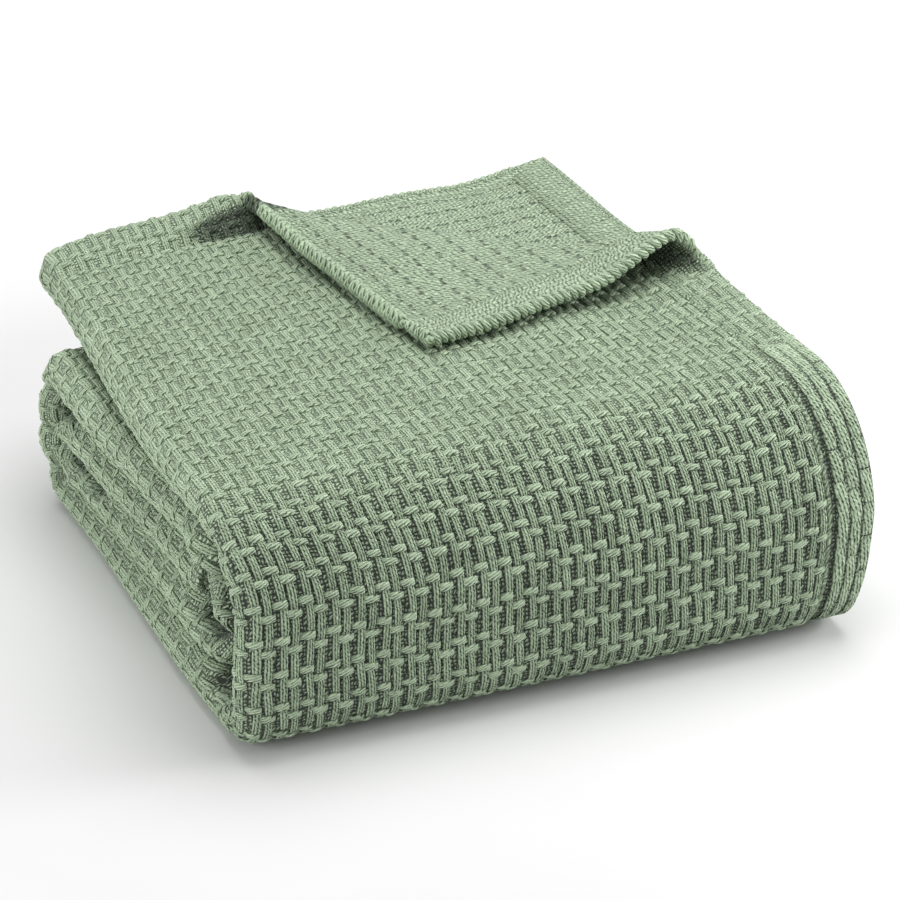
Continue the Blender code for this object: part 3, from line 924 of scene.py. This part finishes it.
def float_tree():
    """A node tree that sets a float on every point, each a little different."""
    tree = bpy.data.node_groups.new("set floats", "GeometryNodeTree")
    sockets = tree.interface
    for name, kind in (
        ("Geometry", "NodeSocketGeometry"),
        ("Float", "NodeSocketObject"),
        ("Yarn", "NodeSocketMaterial"),
        ("Unevenness", "NodeSocketFloat"),
        ("Turn", "NodeSocketFloat"),
        ("Seed", "NodeSocketInt"),
    ):
        sockets.new_socket(name, in_out="INPUT", socket_type=kind)
    sockets.new_socket("Geometry", in_out="OUTPUT", socket_type="NodeSocketGeometry")

    def node(kind, inputs=None, **settings):
        made = tree.nodes.new(kind)
        for key, value in settings.items():
            setattr(made, key, value)
        for key, value in (inputs or {}).items():
            if isinstance(value, bpy.types.NodeSocket):
                tree.links.new(value, made.inputs[key])
            else:
                made.inputs[key].default_value = value
        return made

    given = node("NodeGroupInput").outputs
    shape = node("GeometryNodeObjectInfo", {"Object": given["Float"]}).outputs["Geometry"]
    lowest = node("ShaderNodeMath", {0: 1.0, 1: given["Unevenness"]}, operation="SUBTRACT").outputs[0]
    highest = node("ShaderNodeMath", {0: 1.0, 1: given["Unevenness"]}, operation="ADD").outputs[0]
    low_size = node("ShaderNodeCombineXYZ", {0: lowest, 1: lowest, 2: lowest}).outputs[0]
    high_size = node("ShaderNodeCombineXYZ", {0: highest, 1: highest, 2: highest}).outputs[0]
    size = node("FunctionNodeRandomValue", {0: low_size, 1: high_size, "Seed": given["Seed"]},
                data_type="FLOAT_VECTOR").outputs[0]
    back_turn = node("ShaderNodeMath", {0: 0.0, 1: given["Turn"]}, operation="SUBTRACT").outputs[0]
    turn = node("FunctionNodeRandomValue", {2: back_turn, 3: given["Turn"], "Seed": given["Seed"]},
                data_type="FLOAT").outputs[1]
    angles = node("ShaderNodeCombineXYZ", {2: turn}).outputs[0]
    placed = node("GeometryNodeInstanceOnPoints", {
        "Points": given["Geometry"], "Instance": shape, "Rotation": angles, "Scale": size})
    tone = node("FunctionNodeRandomValue", {2: 0.0, 3: 1.0, "Seed": given["Seed"]},
                data_type="FLOAT").outputs[1]
    toned = node("GeometryNodeStoreNamedAttribute", {
        "Geometry": placed.outputs[0], "Name": "tone", "Value": tone},
        data_type="FLOAT", domain="INSTANCE")
    real = node("GeometryNodeRealizeInstances", {"Geometry": toned.outputs[0]})
    dressed = node("GeometryNodeSetMaterial", {
        "Geometry": real.outputs[0], "Material": given["Yarn"]})
    node("NodeGroupOutput", {0: dressed.outputs[0]})
    return tree


FLOAT_TREE = float_tree()


def set_floats(name, points, shape, yarn, seed, on_back=False):
    """Floats of one shape on the given flat points, carried onto the pile as one piece."""
    dots = bpy.data.meshes.new(name + "_points")
    dots.from_pydata([(across, along, 0.0) for across, along in points], [], [])
    holder = add_object(name + "_points", dots)
    nodes = holder.modifiers.new("floats", "NODES")
    nodes.node_group = FLOAT_TREE
    values = {"Float": shape, "Yarn": yarn, "Unevenness": 0.09, "Turn": 0.08, "Seed": seed}
    for item in FLOAT_TREE.interface.items_tree:
        if item.in_out == "INPUT" and item.name in values:
            nodes[item.identifier] = values[item.name]
    graph = bpy.context.evaluated_depsgraph_get()
    graph.update()
    mesh = bpy.data.meshes.new_from_object(holder.evaluated_get(graph))
    mesh.name = name
    bpy.data.objects.remove(holder)
    if on_back:
        mesh.transform(Matrix.Diagonal((1.0, 1.0, -1.0, 1.0)))
        mesh.flip_normals()
    carry(mesh)
    return add_object(name, mesh)


# The floats of one repeat: shape, place across and along as shares of the repeat
FLOATS = (
    # name, shape, across, along, whether it runs across
    ("bar_a", BAR_LEFT, 0.0, 0.0, True),
    ("bar_b", BAR_RIGHT, -0.55, 0.32, True),
    ("column_a", COLUMN, -0.14, 0.50, False),
    ("column_b", COLUMN, -0.55, 0.82, False),
)


def repeat_points(shift):
    """The place of one float of every repeat on the flat cloth, its hems included."""
    columns = np.arange(-3, int(CLOTH_WIDTH / REPEAT_ACROSS) + 5)
    rows = np.arange(-3, int(cloth.laid(CLOTH_LENGTH) / REPEAT_ALONG) + 5)
    column, row = np.meshgrid(columns, rows)
    across = (column.ravel() + shift[0]) * REPEAT_ACROSS
    along = (row.ravel() + shift[1]) * REPEAT_ALONG
    return across, along


def shows(across, along):
    """Where the face of the cloth shows from outside the pile: True for each place."""
    runs, ends = cloth.fold.runs, cloth.path.ends
    rear_turned = ends[3]
    outer_fold = (runs[1][0], runs[2][0])
    middle_fold = (runs[3][0], runs[4][0])
    outside = (across > -0.002) & (across < outer_fold[1] + 0.004)
    outside &= (along > -0.003) & (along < rear_turned)
    left_end = (across > outer_fold[0] - 0.008) & (across < outer_fold[1] + 0.008)
    right_end = (across > -0.002) & (across < 0.006)
    right_end |= (across > CLOTH_WIDTH - 0.006) & (across < CLOTH_WIDTH) & (along > 0.205)
    right_end |= (across > middle_fold[0] - 0.006) & (across < middle_fold[1] + 0.006)
    rear_edge = (along > -0.003) & (along < 0.006) & (across < cloth.fold.length * 3.0)
    inside = (along > 0.0) & (along < CLOTH_LENGTH - 0.003)
    rim = cloth.open_part(across, along) > 0.5
    rim &= (across < 0.0035) | (along < 0.0035)
    seen = outside | (left_end | right_end) & inside | rear_edge & (across > -0.004)
    beside_seam = np.abs(across - SIDE_HEM) > 0.0016
    return seen & ~rim & beside_seam & (cloth.left_depth(across, along) < HOLLOW_PLAIN)


def on_ribbed_hem(across, along):
    """Where the side hem is drawn into ribs, round the front."""
    return (across < SIDE_HEM) & (along > RIBS_FROM)


def presses_floor(across, along):
    """Where the lowest layer lies on what carries the pile."""
    ends = cloth.path.ends
    lowest = (along > ends[1] + 0.012) & (along < ends[2] - 0.004)
    return lowest & (across > 0.012) & (across < cloth.fold.runs[1][0] - 0.008)


def weave_face():
    """The floats of the cloth's face wherever it shows."""
    bar_yarn = yarn_material("weft yarn", 3.2, 0.32, 0.12, 0.06)
    column_yarn = yarn_material("warp yarn", 3.0, 0.0, 0.55, -0.06)
    pieces = []
    for index, (name, shape, across, along, runs_across) in enumerate(FLOATS):
        if runs_across:
            size = (0.66 * REPEAT_ACROSS, 0.275 * REPEAT_ALONG, 0.0004, 0.0023)
            yarn, strands, depth = bar_yarn, 3, 0.0
        else:
            size = (0.84 * REPEAT_ALONG, 0.33 * REPEAT_ACROSS, 0.0004, 0.0020)
            yarn, strands, depth = column_yarn, 3, STRAND_DEPTH
        fine = float_object(name, shape, *size, strands, depth, runs_across)
        plain = float_object(name + "_pressed", UNDERSIDE, *size, 2, 0.0, runs_across)
        places = np.column_stack(repeat_points((across, along)))
        rolled = cloth.rolled(places[:, 1])
        seen = shows(places[:, 0], rolled) & ~on_ribbed_hem(places[:, 0], rolled)
        pressed = presses_floor(places[:, 0], rolled)
        pieces.append(set_floats("face_" + name, places[seen & ~pressed], fine, yarn, SEED + index))
        pieces.append(set_floats("under_" + name, places[seen & pressed], plain, yarn, SEED + index))
        bpy.data.objects.remove(fine)
        bpy.data.objects.remove(plain)
    return pieces


def line_along(across, start, end, step):
    """Flat points on a line along the cloth."""
    return [(across, along) for along in np.arange(start, end, step)]


def line_across(along, start, end, step):
    """Flat points on a line across the cloth."""
    return [(across, along) for across in np.arange(start, end, step)]


def make_edges():
    """The rolled rims of the two outer layers, the ribs of the side hem, and the seams."""
    edge = yarn_material("edge yarn", 2.6, 0.55, 0.30, 0.0)
    thread = yarn_material("sewing thread", 1.0, 0.0, 0.60, 0.0)
    ribbed = yarn_material("hem rib yarn", 3.6, 0.12, 0.40, -0.04)
    rim = HEM_START - math.pi * OPEN_HEM_RADIUS / 2.0
    second = HEM_START - math.pi * HEM_RADIUS / 2.0
    ends = cloth.path.ends
    ribs = line_along(0.0, cloth.laid(RIBS_FROM), cloth.laid(ends[3]), RIB_STEP)
    lines = (
        # name, size, strands, groove, whether it runs across, lean, points, yarn, seed, on the back
        ("rim_side_edge", RIM_SIZE, 2, 0.0, True, RIM_SLANT,
         line_along(rim, 0.001, RIM_SIDE_LENGTH, RIM_STEP), edge, SEED + 11, False),
        ("rim_end_edge", RIM_SIZE, 2, 0.0, False, RIM_SLANT,
         line_across(rim, 0.001, RIM_END_LENGTH, RIM_STEP), edge, SEED + 12, False),
        ("rim_second_side", SECOND_RIM_SIZE, 2, 0.0, True, RIM_SLANT,
         line_along(CLOTH_WIDTH - second, 0.001, SECOND_SIDE_LENGTH, RIM_STEP), edge, SEED + 16, False),
        ("rim_second_end", SECOND_RIM_SIZE, 2, 0.0, False, RIM_SLANT,
         line_across(second, SECOND_END_FROM, CLOTH_WIDTH, RIM_STEP), edge, SEED + 17, False),
        ("hem_ribs", RIB_SIZE, 3, STRAND_DEPTH, False, 0.0,
         [(across, along + share * RIB_STEP) for across, share in RIBS for _, along in ribs],
         ribbed, SEED + 15, False),
        ("seam_face", STITCH_SIZE, 1, 0.0, False, 0.0,
         line_along(SIDE_HEM, 0.0, cloth.laid(ends[2]), STITCH_STEP), thread, SEED + 13, False),
        ("seam_back", STITCH_SIZE, 1, 0.0, False, 0.0,
         line_along(CLOTH_WIDTH - SIDE_HEM, 0.002, FAR_SEAM_LENGTH, STITCH_STEP), thread, SEED + 14, True),
    )
    pieces = []
    for name, size, strands, groove, runs_across, lean, points, yarn, seed, on_back in lines:
        stroke = float_object(name + "_stroke", COLUMN, *size, strands, groove, runs_across, lean)
        pieces.append(set_floats(name, points, stroke, yarn, seed, on_back))
        bpy.data.objects.remove(stroke)
    return pieces


# The room

CAMERA_PLACE = (-0.51304, -1.0406, 0.58832)
CAMERA_LENS = 100.0
CAMERA_DOWN = 25.1         # degrees below level
CAMERA_TURN = -26.8        # degrees round from looking along Y
SKY_STRENGTH = 0.34
LAMPS = (
    # name, place, what it points at, size, power
    ("overhead softbox", (0.22, 0.26, 1.50), (0.0, 0.0, 0.05), 1.5, 23.0),
    ("left softbox", (-1.6, -0.3, 0.50), (0.0, 0.0, 0.05), 1.0, 12.5),
    ("right fill", (0.78, -0.40, 0.32), (0.15, -0.15, 0.06), 0.4, 5.2),
)
PAPER_STOPS = ((0.3, (0.75, 0.75, 0.75, 1.0)), (0.7, (0.77, 0.77, 0.77, 1.0)))
GLOW_STOPS = ((0.0, (0.0, 0.0, 0.0, 1.0)), (1.0, (0.8, 0.8, 0.8, 1.0)))
GLOW_FROM = 0.35           # painted light: the paper glows more and more beyond this distance, up to white
GLOW_WIDTH = 1.2


def make_camera():
    camera = bpy.data.cameras.new("camera")
    camera.lens = CAMERA_LENS
    camera.sensor_width = 36.0
    camera.clip_start = 0.05
    thing = bpy.data.objects.new("camera", camera)
    bpy.context.scene.collection.objects.link(thing)
    x, y, z = CAMERA_PLACE
    thing.location = (x - MIDDLE[0], y - MIDDLE[1], z)
    thing.rotation_euler = (math.radians(90.0 - CAMERA_DOWN), 0.0, math.radians(CAMERA_TURN))
    bpy.context.scene.camera = thing
    bpy.context.scene.view_settings.view_transform = "Standard"


def make_room():
    bpy.ops.mesh.primitive_plane_add(size=8.0, location=(0.0, 0.0, -0.0002))
    floor = bpy.context.object
    floor.name = "floor"
    paper = Shader("white paper")
    grain = paper.noise(6.0, 2.0, paper.position())
    paper.feed(paper.surface, "Base Color", paper.ramp(grain, PAPER_STOPS))
    paper.surface.inputs["Roughness"].default_value = 0.8
    # Painted light: the floor glows towards white further from the middle, brightening the far floor as a
    # lamp would.
    spot = paper.position()
    distance = paper.add("ShaderNodeVectorMath", {"operation": "LENGTH"}, {0: spot}, output="Value")
    glow = paper.ramp((distance - GLOW_FROM) / GLOW_WIDTH, GLOW_STOPS)
    paper.feed(paper.surface, "Emission Color", glow)
    paper.surface.inputs["Emission Strength"].default_value = 1.0
    floor.data.materials.append(paper.material)

    world = bpy.data.worlds.new("studio")
    world.use_nodes = True
    bpy.context.scene.world = world
    sky = world.node_tree.nodes["Background"]
    sky.inputs["Color"].default_value = (1.0, 1.0, 1.0, 1.0)
    sky.inputs["Strength"].default_value = SKY_STRENGTH
    for name, place, aim, size, power in LAMPS:
        lamp = bpy.data.lights.new(name, "AREA")
        lamp.size = size
        lamp.energy = power
        thing = bpy.data.objects.new(name, lamp)
        bpy.context.scene.collection.objects.link(thing)
        thing.location = place
        thing.rotation_euler = (Vector(aim) - Vector(place)).to_track_quat("-Z", "Y").to_euler()


def main():
    make_camera()
    make_room()
    face = ground_material("plain ground")
    back = back_material("back of the weave", 1.0)
    hem = back_material("turned hem", 0.2)
    sheet = make_sheet(face, back, hem)
    pieces = weave_face() + make_edges()
    for piece in [sheet] + pieces:
        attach(piece, "root")
    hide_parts("blanket")


main()
